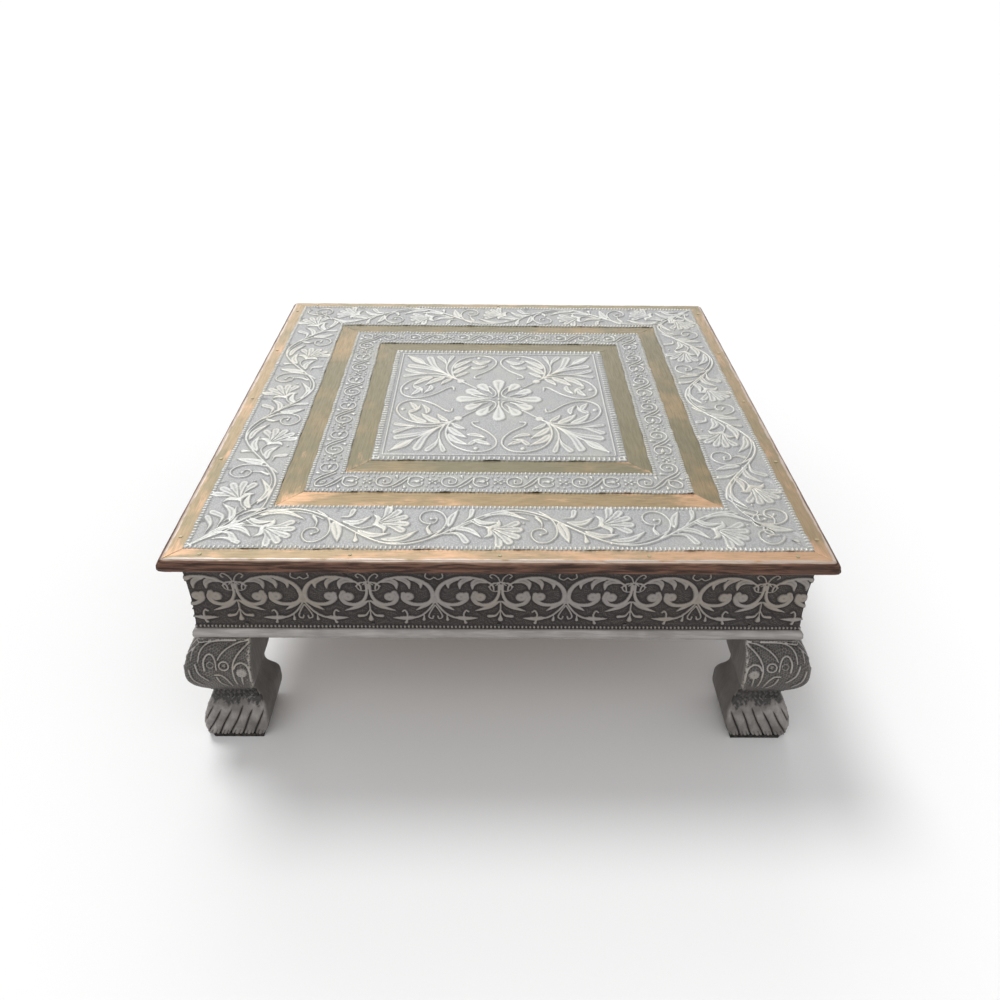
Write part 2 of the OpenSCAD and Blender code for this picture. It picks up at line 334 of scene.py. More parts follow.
def vine_unit(pen):
    """What grows on one period of the vine, measured from its crest; y is towards the centre."""
    pen.volute([(18, 18.3), (25, 12), (29.3, 2), (29.5, -9), (24, -16.5), (16.5, -17.4),
                (12, -11), (13.5, -4), (19.5, -2), (22.6, -6), (18.3, -9)], 1.05)
    pen.comma([(19.5, -2), (19.5, 5), (16.0, 11.5)], 1.6)
    pen.line([(-44, -5.5), (-28, 6.4), (-13, 14.6), (2, 17.0), (14, 14.2), (24, 8.0)], 0.7, 0.6)
    pen.leaf([(31.5, 5), (35, -5), (37.5, -18)], 4.0)
    pen.drop((48.5, -7), (49.5, -16), 2.2)
    pen.comma([(35, 10.5), (41.5, 11.6), (43.6, 18.8)], 2.4)
    pen.leaf([(37, 5.5), (48, 4.6), (57, 11.5)], 3.0)
    pen.leaf([(49, -4.5), (60, -9.8), (72.5, -8.0)], 2.9)
    pen.leaf([(66, -15), (80, -13.4), (91.5, -4.5)], 2.9)
    pen.line([(43, 1.5), (52, -2.2), (61.5, 1.5)], 0.9, 0.8)
    pen.tulip(60.5, 2.0, 24, 22.5)
    pen.volute([(101, -12), (107.6, -4), (110.6, 6), (107.4, 15.5), (100.4, 19.3), (93.3, 16.3),
                (91.6, 9.4), (95.5, 4), (102, 4.4), (103.8, 9.6), (99.6, 9)], 1.05)
    pen.comma([(99.5, 3), (97.5, -2), (99.4, -7)], 1.9)
    pen.line([(66, -18.5), (82, -17.6), (98, -10.5), (110, -1.5)], 0.7, 0.6)
    pen.leaf([(112.5, -0.5), (114, 10), (118.5, 19.8)], 3.0)
    pen.comma([(121, 3.5), (127, 11), (128.4, 19.5)], 2.3)
    pen.comma([(107, -8.5), (119, -8), (125, -16.5)], 2.9)
    pen.leaf([(114, -1.8), (126.5, -3.4), (135.5, -12.5)], 2.7)
    pen.blade([(129.5, 9), (137, 4.5), (148, 5.2)], 2.4)
    pen.leaf([(135, 12.6), (152, 16.6), (169, 7.6)], 2.6)
    pen.line([(128, 6.5), (134, 1.4), (141, -0.6)], 0.9, 0.8)
    pen.tulip(140, -1.0, -27, 22.5)
    pen.dot(57, 18, 1.0)
    pen.dot(78, -20.3, 0.9)
    pen.dot(146, -20, 1.0)
    pen.dot(7, 4, 1.1)


def border_relief(shift, volute_at):
    """One wide border, growing from its left corner to its right one."""
    relief = Relief((-BORDER_OUT - 1, BORDER_OUT + 1),
                    (BAND_OUT - BORDER_MID - 1, BORDER_OUT - BORDER_MID + 1), 0.22)
    pen = Pen(relief)
    first = VINE_CREST - VINE_PERIOD + shift
    last = VINE_CREST + VINE_PERIOD + shift
    x = np.arange(first, last + 1, 3.0)
    vine = VINE_REACH * np.cos(2 * np.pi * (x - first) / VINE_PERIOD)
    pen.trace(np.stack([x, vine], 1), 1.1, 0.9)
    pen.line([(-211, -23), (-199, -12), (-188, -1), (-178, 9.5), (-166, 17.5),
              (first, VINE_REACH)], 1.3, 0.95)
    pen.line([(-205, -17.5), (-193, -9), (-180, 0.2), (-165.5, -1.5)], 0.9, 0.7)
    pen.blade([(-200, -12), (-190, -1), (-176, 3)], 2.2)
    pen.comma([(-197, -15), (-187, -14), (-178, -18.5)], 2.4)
    pen.comma([(-196, -7), (-191, 6), (-193, 15)], 2.4)
    pen.blade([(-190, -4), (-182, 10), (-174, 18.5)], 2.2)
    for k in range(-1, 3):
        vine_unit(pen.at(first + VINE_PERIOD * k, 0))
    cx, cy = volute_at
    pen.volute([(last, VINE_REACH), (cx - 14, 12), (cx - 8.5, 2), (cx - 1, 7.6), (cx + 6.6, 4),
                (cx + 7.2, -4), (cx + 1, -7.8), (cx - 5.6, -4.4), (cx - 4.6, 2.6), (cx + 1.6, 2.9),
                (cx, -1)])
    pen.comma([(cx + 6.6, 4), (cx + 11, 4.5), (cx + 15, 10)], 1.6)
    edge = BORDER_OUT - BORDER_MID
    beads(pen, BORDER_OUT - 1.6, -edge + 0.9, -edge + 2.5, 3.2, 0.95)
    beads(pen, BAND_OUT + 1.6, edge - 2.5, edge - 0.9, 3.2, 0.95)
    return relief.settle()


# ---------------- narrow border
NARROW_MID = (NARROW_OUT + NARROW_BAND_OUT) / 2
ROSETTE_PITCH = 49.4


def narrow_unit(pen):
    """A rosette, a spiral, a crossing stem and a spiral the other way."""
    for angle in range(45, 405, 90):
        a = math.radians(angle)
        out = np.array((math.cos(a), math.sin(a)))
        pen.drop(out, 3.3 * out, 1.3)
    pen.dot(0, 0, 1.0)
    for y in (-7.4, 7.4):
        pen.dot(0, y, 1.1)
        pen.dot(-4.4, y * 0.86, 0.9)
        pen.dot(4.6, y * 0.86, 0.9)
    pen.volute([(29, 6.5), (24, 0.5), (19, -5.2), (13, -6.8), (7.6, -3.4), (7.6, 3.4), (13, 6.4),
                (17.8, 3.2), (16.8, -2.2), (12.4, -2.4), (12.6, 1)], 0.95, 1.3)
    pen.volute([(20, -7.8), (26, -2.6), (31, 4.6), (37, 6.8), (42, 4.6), (41, 1.8)], 0.95, 1.2)
    pen.volute([(31.5, 4.6), (31, -2.4), (35.6, -6.6), (41.2, -4.6), (41.6, -1.6)], 0.95, 1.2)
    pen.drop((33.5, 0), (38, 0.4), 2.0)
    pen.drop((22.6, 3.4), (21.6, 7.4), 1.6)
    pen.drop((27.4, -4.4), (28.8, -7.6), 1.6)
    pen.drop((3.4, 0), (5.4, 0), 0.9)


def narrow_relief():
    relief = Relief((-NARROW_OUT - 1, NARROW_OUT + 1),
                    (NARROW_BAND_OUT - NARROW_MID - 1, NARROW_OUT - NARROW_MID + 1), 0.2)
    pen = Pen(relief)
    for k in range(-3, 3):
        narrow_unit(pen.at(ROSETTE_PITCH * k - 1, 0))
    edge = NARROW_OUT - NARROW_MID
    beads(pen, NARROW_OUT - 1.5, -edge + 0.8, -edge + 2.3, 3.1, 0.9)
    beads(pen, NARROW_BAND_OUT + 1.5, edge - 2.3, edge - 0.8, 3.1, 0.9)
    return relief.settle()


# ---------------- centre panel
FIELD = 93.0


def spray(pen):
    """Half of one corner of the panel: the work below the diagonal, corner towards -x, -y."""
    pen.dot(-34.8, -34.8, 4.0)
    pen.line([(-20, -20), (-28, -28), (-34, -34)], 0.9)
    pen.line([(-34, -34), (-41, -42), (-44, -55), (-43, -67), (-38, -78), (-30, -85), (-20, -88.5),
              (-9, -86.5), (-2.6, -78), (-3.2, -68), (-9, -58), (-16, -51), (-21.4, -46),
              (-22.6, -41.4), (-17.6, -40.6)], 1.25, 1.1)
    pen.leaf([(-40, -43), (-34, -49), (-27.5, -53)], 2.6)
    pen.leaf([(-42, -50), (-36, -58.5), (-26.5, -67)], 3.7)
    pen.leaf([(-42, -61), (-36, -70.5), (-25, -78.5)], 3.6)
    pen.leaf([(-26.5, -62), (-19, -62), (-10.5, -67.5)], 2.6)
    pen.comma([(-11, -69), (-18, -70), (-23, -76)], 2.7)
    pen.leaf([(-21, -71), (-13, -74), (-6.8, -78.5)], 2.8)
    pen.dot(-19, -83.4, 2.3)
    pen.line([(-35, -35), (-44.5, -45), (-49, -57), (-49.4, -68)], 1.2, 1.0)
    pen.comma([(-49.4, -64), (-47.6, -76), (-44.8, -87)], 2.5)
    pen.comma([(-49.6, -66), (-51.6, -76), (-57.5, -86)], 3.0)
    pen.comma([(-46, -46), (-60, -64), (-66.4, -83.5)], 4.0)
    pen.line([(-40, -40), (-58, -58), (-71, -71)], 1.2, 1.0)
    pen.line([(-70, -70), (-75.6, -80.5), (-88.5, -88)], 1.1, 0.9)
    pen.blade([(-72, -72), (-79, -79.6), (-86, -86)], 1.9)


def panel_relief():
    relief = Relief((-PANEL_OUT - 1, PANEL_OUT + 1), (-PANEL_OUT - 1, PANEL_OUT + 1), 0.22)
    swap = np.array(((0, 1), (1, 0)), float)
    for turn in range(4):
        a = math.radians(90 * turn)
        spin = np.array(((math.cos(a), -math.sin(a)), (math.sin(a), math.cos(a))))
        pen = Pen(relief, matrix=spin)
        spray(pen)
        spray(Pen(relief, matrix=spin @ swap))
        for angle, start, reach, end in ((0, 3.0, 32.4, 6.3), (31, 11.0, 29.0, 5.7),
                                         (59, 11.0, 29.0, 5.9)):
            b = math.radians(angle)
            path = smooth_path([(0, 0), (start, 0), (reach, 0)], 16)[16:]
            path = path @ ((math.cos(b), math.sin(b)), (-math.sin(b), math.cos(b)))
            swell = np.interp(np.linspace(0, 1, len(path)), (0, 0.3, 0.58, 0.82, 1),
                              (0.4, 0.8, 2.6, 0.84 * end, end))
            pen.trace(path, swell, 1.0, dish=0.5)
        pen.line([(8.6, 24.6), (3.4, 15), (2.9, 7.4), (7.4, 2.9), (15, 3.4), (24.6, 8.6)], 0.95)
        pen.line([(-FIELD, -FIELD), (FIELD, -FIELD)], 0.8, height=0.8)
        beads(pen, PANEL_OUT - 1.9, -PANEL_OUT + 1.1, -PANEL_OUT + 4.3, 3.9, 1.0)
    Pen(relief).dot(0, 0, 1.6)
    return relief.settle()


# ---------------- apron
APRON_PITCH = 92.0
APRON_H = SLAB_LOW - SHEET_LOW


def pendant_half(pen):
    """Half of the motif with a pendant; y is the depth below the top of the sheet, upwards."""
    pen.line([(0.3, -17.5), (2.2, -12.6), (5.6, -9.8), (7.6, -11.4), (6.2, -13.4)], 0.65)
    pen.ring(3.7, -21.6, 4.0, 0.65)
    pen.line([(-3.6, -20), (0, -17.2), (4.6, -18.4), (8.4, -21.4)], 0.75)
    pen.line([(1.3, -20), (1.4, -28), (4.2, -34.8), (10, -38.4), (16.4, -37), (19.2, -32),
              (17.8, -27.6)], 1.1, 2.4, height=0.95)
    pen.dot(14.4, -31.2, 4.3)
    pen.blade([(0.4, -34.5), (8, -40), (18, -44)], 1.8)
    pen.line([(0, -35), (0, -47)], 0.7)
    pen.comma([(0.2, -42.5), (3.2, -47.8), (8.2, -48.8)], 1.5)
    pen.drop((0, -45.5), (0, -51.6), 2.1)


def scroll_half(pen):
    """Half of the motif between the pendants, with its arch and its hanging leaflets."""
    pen.line([(5.6, -9.2), (6.0, -12.6), (2.8, -14.6), (0.1, -12.8)], 0.65)
    pen.line([(1.4, -35), (1.5, -27.6), (4.4, -20.8), (10.4, -15.6), (18, -12.8), (27, -13.0),
              (34.6, -15.6), (40, -19.8), (41.2, -24.2)], 2.2, 0.7, height=0.95)
    pen.blade([(17.6, -14.2), (12.6, -15.4), (9.6, -18.6), (9.6, -23.4)], 2.1)
    pen.blade([(26.6, -14.0), (21.2, -15.2), (18.0, -18.6), (17.4, -23.8)], 2.2)
    pen.blade([(37.4, -17.4), (31.4, -15.6), (27.0, -18.4), (26.2, -24.2)], 2.6)
    pen.line([(0.9, -29), (3.6, -35.2), (9.6, -38), (16.6, -37.6), (21.8, -33.4), (21.8, -28.6)],
             1.4, 2.2, height=0.95)
    pen.dot(18.4, -30.8, 4.2)
    pen.blade([(1, -34), (7, -38.8), (13.6, -43.4)], 1.8)
    pen.line([(0.4, -36), (6, -44.6), (12.6, -49.6), (20, -50.6)], 0.9, 1.1)
    pen.blade([(14, -50), (21, -50.8), (30, -50.4)], 1.9)
    pen.line([(20.6, -50.6), (20.0, -47), (21.6, -43.6), (23.4, -44.8)], 0.9, 0.8)
    pen.drop((19.6, -50.6), (21.2, -54.6), 1.4)
    pen.drop((8, -46), (8.4, -52), 1.3)
    pen.line([(0.2, -38.6), (3.6, -45), (4.8, -49.4), (2.4, -51), (1.6, -48.8)], 0.75)


def apron_relief():
    """The apron sheet, from its top edge at y = 0 down."""
    relief = Relief((-APRON_OUT - 1, APRON_OUT + 1), (-APRON_H - 1, 1), 0.24)
    for k in range(-3, 4):
        for x, half in ((APRON_PITCH * k + 1, pendant_half),
                        (APRON_PITCH * (k + 0.5) + 1, scroll_half)):
            pen = Pen(relief, (x, 0))
            half(pen)
            half(pen.mirrored())
    beads(Pen(relief), APRON_OUT - 1, -APRON_H + 2.3, -APRON_H + 1.4, 2.8, 0.85)
    return relief.settle()


# ---------------- mesh making
def tube_mesh(name, points, attributes, flip=False):
    """A closed tube from a grid of points in millimetres, rows along it and columns around it."""
    rows, columns = points.shape[:2]
    i, j = np.meshgrid(np.arange(rows - 1), np.arange(columns), indexing="ij")
    k = (j + 1) % columns
    quads = np.stack([i * columns + j, i * columns + k, (i + 1) * columns + k,
                      (i + 1) * columns + j], -1).reshape(-1, 4)
    caps = np.array([np.arange(columns)[::-1], np.arange(columns) + (rows - 1) * columns])
    if flip:
        quads, caps = quads[:, ::-1], caps[:, ::-1]
    mesh = bpy.data.meshes.new(name)
    loops = np.concatenate([quads.ravel(), caps.ravel()]).astype(np.int32)
    totals = np.array([4] * len(quads) + [columns] * 2, np.int32)
    mesh.vertices.add(rows * columns)
    mesh.vertices.foreach_set("co", (points * MM).astype(np.float32).ravel())
    mesh.loops.add(len(loops))
    mesh.loops.foreach_set("vertex_index", loops)
    mesh.polygons.add(len(totals))
    starts = np.concatenate([[0], np.cumsum(totals)[:-1]])
    mesh.polygons.foreach_set("loop_start", starts.astype(np.int32))
    mesh.polygons.foreach_set("loop_total", totals)
    mesh.update(calc_edges=True)
    mesh.validate()
    mesh.polygons.foreach_set("use_smooth", totals == 4)
    for key, values in attributes.items():
        layer = mesh.attributes.new(key, "FLOAT", "POINT")
        layer.data.foreach_set("value", np.asarray(values, np.float32).ravel())
    obj = bpy.data.objects.new(name, mesh)
    bpy.context.scene.collection.objects.link(obj)
    return obj


def turned(points, side):
    """Points of the front side turned to another side."""
    a = math.pi / 2 * side
    c, s = round(math.cos(a)), round(math.sin(a))
    x, y, z = points[..., 0], points[..., 1], points[..., 2]
    return np.stack([c * x - s * y, s * x + c * y, z], -1)


def mitred_bar(name, outline, columns, side, shift):
    """A bar along one side, mitred at both ends.

    outline is a closed loop of [distance from the centre, level], running anticlockwise when
    seen with the outside on the right. shift gives what to add to both at each point, and
    the attributes that the material reads.
    """
    outline = np.asarray(outline, float)
    u = np.linspace(-1, 1, columns)[:, None]
    r = np.broadcast_to(outline[:, 0], (columns, len(outline))).copy()
    z = np.broadcast_to(outline[:, 1], (columns, len(outline))).copy()
    x = u * r
    across = np.broadcast_to(arc_length(outline), r.shape)
    attributes = {"along": x * MM, "across": across * MM + side * 0.37}
    dr, dz, more = shift(x, r, z)
    r, z = r + dr, z + dz
    x = u * r
    attributes.update(more)
    return tube_mesh(name, turned(np.stack([x, -r, z], -1), side), attributes, flip=True)


# ---------------- shader helper
class Shader:
    """A material whose nodes are made by short calls."""

    def __init__(self, name, metallic=0.0, roughness=0.5, specular=0.5):
        self.material = bpy.data.materials.new(name)
        self.material.use_nodes = True
        self.tree = self.material.node_tree
        self.shader = self.tree.nodes["Principled BSDF"]
        self.shader.inputs["Metallic"].default_value = metallic
        self.shader.inputs["Roughness"].default_value = roughness
        self.shader.inputs["Specular IOR Level"].default_value = specular

    def node(self, kind, **settings):
        made = self.tree.nodes.new(kind)
        for key, value in settings.items():
            setattr(made, key, value)
        return made

    def feed(self, socket, value):
        if hasattr(value, "is_output"):
            self.tree.links.new(value, socket)
        else:
            socket.default_value = value

    def attribute(self, name):
        return self.node("ShaderNodeAttribute", attribute_name=name).outputs["Fac"]

    def place(self):
        return self.node("ShaderNodeTexCoord").outputs["Object"]

    def vector(self, x, y, z):
        made = self.node("ShaderNodeCombineXYZ")
        for socket, value in zip(made.inputs, (x, y, z)):
            self.feed(socket, value)
        return made.outputs[0]

    def math(self, operation, a, b=0.0, c=0.0):
        made = self.node("ShaderNodeMath", operation=operation)
        for socket, value in zip(made.inputs, (a, b, c)):
            self.feed(socket, value)
        return made.outputs[0]

    def texture(self, kind, output, **inputs):
        made = self.node(kind)
        for key, value in inputs.items():
            self.feed(made.inputs[key], value)
        return made.outputs[output]

    def noise(self, where, scale, detail=3.0, roughness=0.55, distortion=0.0):
        return self.texture("ShaderNodeTexNoise", "Fac", Vector=where, Scale=scale, Detail=detail,
                            Roughness=roughness, Distortion=distortion)

    def stretched(self, where, scale):
        return self.texture("ShaderNodeMapping", 0, Vector=where, Scale=scale)

    def cells(self, where, scale):
        return self.texture("ShaderNodeTexVoronoi", "Distance", Vector=where, Scale=scale)

    def spread(self, value, low, high, to_low=0.0, to_high=1.0):
        """A smooth step from low to high."""
        made = self.node("ShaderNodeMapRange", interpolation_type="SMOOTHSTEP")
        for socket, number in zip(made.inputs, (value, low, high, to_low, to_high)):
            self.feed(socket, number)
        return made.outputs[0]

    def mix(self, share, a, b):
        """A colour between a and b."""
        made = self.node("ShaderNodeMix", data_type="RGBA")
        self.feed(made.inputs["Factor"], share)
        for socket, value in ((made.inputs[6], a), (made.inputs[7], b)):
            self.feed(socket, value if hasattr(value, "is_output") else (*value, 1.0))
        return made.outputs[2]

    def tone(self, value, low, high, a, b, most=1.0):
        """A colour that goes from a towards b, by most of the way, as a value rises."""
        return self.mix(self.spread(value, low, high, 0.0, most), a, b)

    def finish(self, color, roughness=None, bump=None, depth=0.0002):
        self.feed(self.shader.inputs["Base Color"], color)
        if roughness is not None:
            self.feed(self.shader.inputs["Roughness"], roughness)
        if bump is not None:
            made = self.node("ShaderNodeBump")
            made.inputs["Distance"].default_value = depth
            made.inputs["Strength"].default_value = 1.0
            self.feed(made.inputs["Height"], bump)
            self.feed(self.shader.inputs["Normal"], made.outputs[0])
        return self.material


# ---------------- materials
def embossed_metal(name, crease, ground, raised, tarnish, metallic, stipple_scale):
    """Embossed sheet: a punched ground, painted shade in the creases at the foot of the raised work,
    and crests that are brighter both from rubbing and as a painted highlight.
    """
    s = Shader(name, metallic=metallic)
    where = s.place()
    fine = s.noise(where, 420.0, 3.0)
    dots = s.cells(where, stipple_scale)
    rubbed = s.math("ADD", s.attribute("relief"), s.math("MULTIPLY_ADD", fine, 0.24, -0.12))
    deep = s.tone(dots, 0.1, 0.75, ground, [0.72 * g for g in ground])
    # At the foot of the raised work the relief value falls below zero, and the crease colour paints
    # shade there.
    deep = s.tone(rubbed, -0.32, 0.02, crease, deep)
    deep = s.tone(s.noise(where, 28.0, 4.0), 0.45, 0.75, deep, tarnish, 0.7)
    cream = [raised[0], 0.965 * raised[1], 0.88 * raised[2]]
    crest = s.tone(s.noise(where, 17.0, 3.0), 0.42, 0.62, raised, cream)
    # The crests take the raised colour as the relief value rises: partly rubbed metal, partly a
    # painted highlight that follows the height.
    color = s.tone(rubbed, 0.1, 1.0, deep, crest)
    color = s.tone(s.noise(where, 9.0, 3.0), 0.55, 0.85, color, tarnish, 0.2)
    roughness = s.spread(rubbed, 0.1, 0.9, 0.58, 0.36)
    bump = s.math("MULTIPLY_ADD", dots, -0.6, s.math("MULTIPLY", fine, 0.5))
    return s.finish(color, roughness, bump, 0.00012)


def brass_material(name, base, tan, copper, copper_share):
    """Tarnished brass, brushed along its length, coppery in patches, and pale at its outer edge, where
    it is rubbed and also painted pale as a highlight.
    """
    s = Shader(name, metallic=0.55)
    along = s.attribute("along")
    across = s.attribute("across")
    streak_place = s.vector(s.math("MULTIPLY", along, 0.08), across, s.math("MULTIPLY", across, 0.3))
    streaks = s.noise(streak_place, 900.0, 4.0, 0.6)
    where = s.place()
    clouds = s.noise(where, 16.0, 4.0, 0.6)
    worn = s.noise(s.vector(s.math("MULTIPLY", along, 0.35), across, 0.0), 70.0, 5.0, 0.62)
    corner = s.attribute("corner")
    warm = s.attribute("warm")
    # The warm value carries each side's coppery tone and, on the front edge strip, painted light
    # towards its right end.
    color = s.tone(s.math("MULTIPLY_ADD", warm, 2.2, clouds), 0.4, 0.7, base, tan)
    patch = s.math("MULTIPLY_ADD", corner, 0.27, s.math("ADD", worn, warm))
    color = s.tone(patch, copper_share, copper_share + 0.22, color, copper)
    color = s.tone(streaks, 0.35, 0.75, color, [0.6 * b for b in base], 0.35)
    rim_wear_and_highlight = s.math("ADD", s.attribute("rim_wear_and_highlight"), s.math("MULTIPLY_ADD", streaks, 0.4, -0.2))
    # The pale outer edge is partly worn metal and partly a painted highlight along the arris.
    color = s.tone(rim_wear_and_highlight, 0.35, 0.75, color, (0.58, 0.50, 0.45))
    roughness = s.spread(streaks, 0.3, 0.7, 0.36, 0.52)
    return s.finish(color, roughness, streaks, 0.00006)


def edge_wood_material():
    """Dark reddish wood with grain along its length, worn pale on its upper corner and painted paler
    there as a highlight.
    """
    s = Shader("edge_wood", specular=0.25)
    along = s.attribute("along")
    across = s.attribute("across")
    grain_place = s.vector(s.math("MULTIPLY", along, 0.07), across, 0.0)
    grain = s.noise(grain_place, 520.0, 5.0, 0.62, 0.6)
    pores = s.noise(s.vector(s.math("MULTIPLY", along, 0.12), across, 0.4), 1500.0, 3.0)
    blotch = s.noise(s.place(), 22.0, 3.0)
    color = s.tone(grain, 0.38, 0.64, (0.034, 0.017, 0.012), (0.165, 0.08, 0.052))
    color = s.tone(blotch, 0.5, 0.72, color, (0.06, 0.034, 0.027), 0.55)
    arris_wear_and_highlight = s.math("ADD", s.attribute("arris_wear_and_highlight"), s.math("MULTIPLY_ADD", grain, 0.7, -0.45))
    # Near the arris the wood is painted pale: partly worn wood, partly a painted highlight.
    color = s.tone(arris_wear_and_highlight, 0.2, 0.62, color, (0.26, 0.16, 0.11), 0.75)
    color = s.tone(arris_wear_and_highlight, 0.62, 0.9, color, (0.58, 0.47, 0.39))
    bump = s.math("ADD", grain, s.math("MULTIPLY", pores, 0.5))
    return s.finish(color, s.spread(grain, 0.3, 0.7, 0.58, 0.42), bump, 0.00016)


def raw_wood_material(name, grain_axis):
    """Plain sawn wood of the hidden frame, with its grain along an axis."""
    s = Shader(name, specular=0.3)
    where = s.place()
    stretch = [0.08 if k == grain_axis else 1.0 for k in range(3)]
    grain = s.noise(s.stretched(where, stretch), 260.0, 5.0, 0.6, 0.8)
    saw = s.noise(where, 900.0, 2.0)
    color = s.tone(grain, 0.35, 0.65, (0.20, 0.12, 0.07), (0.34, 0.22, 0.13))
    color = s.tone(s.noise(where, 14.0, 3.0), 0.45, 0.7, color, (0.16, 0.11, 0.08), 0.4)
    return s.finish(color, s.spread(grain, 0.3, 0.7, 0.85, 0.65), s.math("ADD", grain, saw), 0.0002)


def base_metal_material():
    """Dull white metal over the half-round moulding, with pale rub marks along it."""
    s = Shader("base_metal", metallic=0.35)
    along = s.attribute("along")
    across = s.attribute("across")
    marks = s.noise(s.vector(s.math("MULTIPLY", along, 0.12), across, 0.0), 380.0, 4.0)
    clouds = s.noise(s.place(), 30.0, 3.0)
    color = s.tone(marks, 0.35, 0.7, (0.30, 0.28, 0.268), (0.40, 0.38, 0.366))
    color = s.tone(clouds, 0.5, 0.75, color, (0.22, 0.20, 0.19), 0.5)
    return s.finish(color, s.spread(marks, 0.3, 0.7, 0.55, 0.4), marks, 0.00008)


def leg_wood_material():
    """Carved wood with a mottled grey-brown finish, painted dark as shade in the creases between the
    toes.
    """
    s = Shader("paw_wood")
    where = s.place()
    grain = s.noise(s.stretched(where, (1.0, 1.0, 0.12)), 420.0, 4.0, 0.6, 0.4)
    clouds = s.noise(where, 60.0, 4.0)
    crease = s.attribute("crease")
    fur = s.attribute("fur")
    inner = s.attribute("inner")
    color = s.tone(clouds, 0.35, 0.7, (0.145, 0.132, 0.124), (0.31, 0.287, 0.27))
    color = s.tone(grain, 0.35, 0.75, color, (0.15, 0.13, 0.12), 0.5)
    plain = s.tone(clouds, 0.3, 0.7, (0.102, 0.093, 0.086), (0.14, 0.13, 0.12))
    color = s.mix(inner, color, plain)
    # The toe grooves and claw hollows are painted dark as shade, over their carved depth.
    color = s.tone(crease, 0.12, 0.75, color, (0.020, 0.017, 0.015))
    mottled = s.math("ADD", fur, s.math("MULTIPLY_ADD", s.noise(where, 240.0, 4.0), 1.4, -0.8))
    color = s.tone(mottled, 0.15, 0.75, color, (0.026, 0.023, 0.021), 0.92)
    bump = s.math("ADD", grain, s.math("MULTIPLY", s.noise(where, 900.0, 3.0), 0.5))
    return s.finish(color, s.spread(grain, 0.3, 0.7, 0.42, 0.6), bump, 0.00014)


def stained_material(name, scale, low, high, roughness, depth, **settings):
    """A plain surface, mottled between two colours and two roughnesses."""
    s = Shader(name, **settings)
    stain = s.noise(s.place(), scale, 4.0)
    color = s.tone(stain, 0.35, 0.7, low, high)
    return s.finish(color, s.spread(stain, 0.3, 0.7, *roughness), stain, depth)


def tack_material():
    """Small tacks: brassy on the top's edge, blackened lower down."""
    s = Shader("tack_brass", metallic=0.3)
    where = s.place()
    stain = s.noise(where, 500.0, 4.0)
    height = s.node("ShaderNodeSeparateXYZ")
    s.feed(height.inputs[0], where)
    upper = s.spread(height.outputs[2], 0.165, 0.17)
    brass = s.tone(stain, 0.35, 0.7, (0.36, 0.31, 0.19), (0.52, 0.43, 0.27))
    black = s.tone(stain, 0.35, 0.7, (0.04, 0.036, 0.034), (0.10, 0.09, 0.085))
    return s.finish(s.mix(upper, black, brass), s.spread(stain, 0.3, 0.7, 0.55, 0.4), stain, 0.00005)


MATERIALS = {
    "white_metal": embossed_metal("white_metal", (0.25, 0.253, 0.25), (0.45, 0.455, 0.452),
                                  (0.60, 0.60, 0.57), (0.42, 0.418, 0.385), 0.3, 800.0),
    "dark_metal": embossed_metal("dark_metal", (0.010, 0.008, 0.008), (0.028, 0.022, 0.020),
                                 (0.28, 0.255, 0.24), (0.036, 0.028, 0.026), 0.35, 900.0),
    "leg_metal": embossed_metal("leg_metal", (0.018, 0.016, 0.015), (0.095, 0.087, 0.081),
                                (0.37, 0.345, 0.325), (0.10, 0.09, 0.085), 0.3, 700.0),
    "band_brass": brass_material("band_brass", (0.185, 0.162, 0.097), (0.305, 0.222, 0.12),
                                 (0.60, 0.37, 0.215), 0.64),
    "edge_brass": brass_material("edge_brass", (0.26, 0.222, 0.135), (0.38, 0.28, 0.17),
                                 (0.60, 0.375, 0.23), 0.57),
    "edge_wood": edge_wood_material(),
    **{name: raw_wood_material(name, axis)
       for axis, name in enumerate(("raw_wood_x", "raw_wood_y", "raw_wood_z"))},
    "base_metal": base_metal_material(),
    "paw_wood": leg_wood_material(),
    "pad": stained_material("pad", 300.0, (0.012, 0.010, 0.009), (0.045, 0.038, 0.034),
                            (0.85, 0.6), 0.0002, specular=0.3),
    "screw_steel": stained_material("screw_steel", 500.0, (0.30, 0.30, 0.30), (0.58, 0.58, 0.60),
                                    (0.5, 0.3), 0.00005, metallic=0.9),
    "tack_brass": tack_material(),
}


def finished(piece, slot, node):
    """Gives a piece its material and its place in the frame, instead of a CAD node."""
    piece.data.materials.append(MATERIALS[slot])
    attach(piece, "root")
    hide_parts(node)


# ---------------- the top
def pattern_x(x, side):
    """Position along the ornament: the right and left sides grow the other way."""
    return -x if side % 2 else x


def sheet_outline(outer, inner, rows):
    """The section of a thin sheet, with rows of points on its face for the raised work."""
    r = np.linspace(outer, inner, rows)
    top = np.stack([r, np.full(rows, GROUND)], 1)
    low = GROUND - SHEET_GAUGE
    return np.vstack([[[outer, low]], top, [[inner, low], [(inner * 2 + outer) / 3, low],
                                            [(inner + outer * 2) / 3, low]]])


def emboss(raised, foot, dots):
    """How far the sheet is pushed up by its raised work and down by the punches."""
    return RELIEF_H * raised - PUNCH_DEPTH * (foot + dots)


def shade(raised, foot, dots):
    """What the finish follows: 1 on the crests, which are rubbed and also carry a painted highlight, 0
    on the ground, and less in the creases at the foot of the raised work, where shade is painted.
    """
    return raised**1.5 - 1.1 * foot + 0.14 * (0.5 - dots)


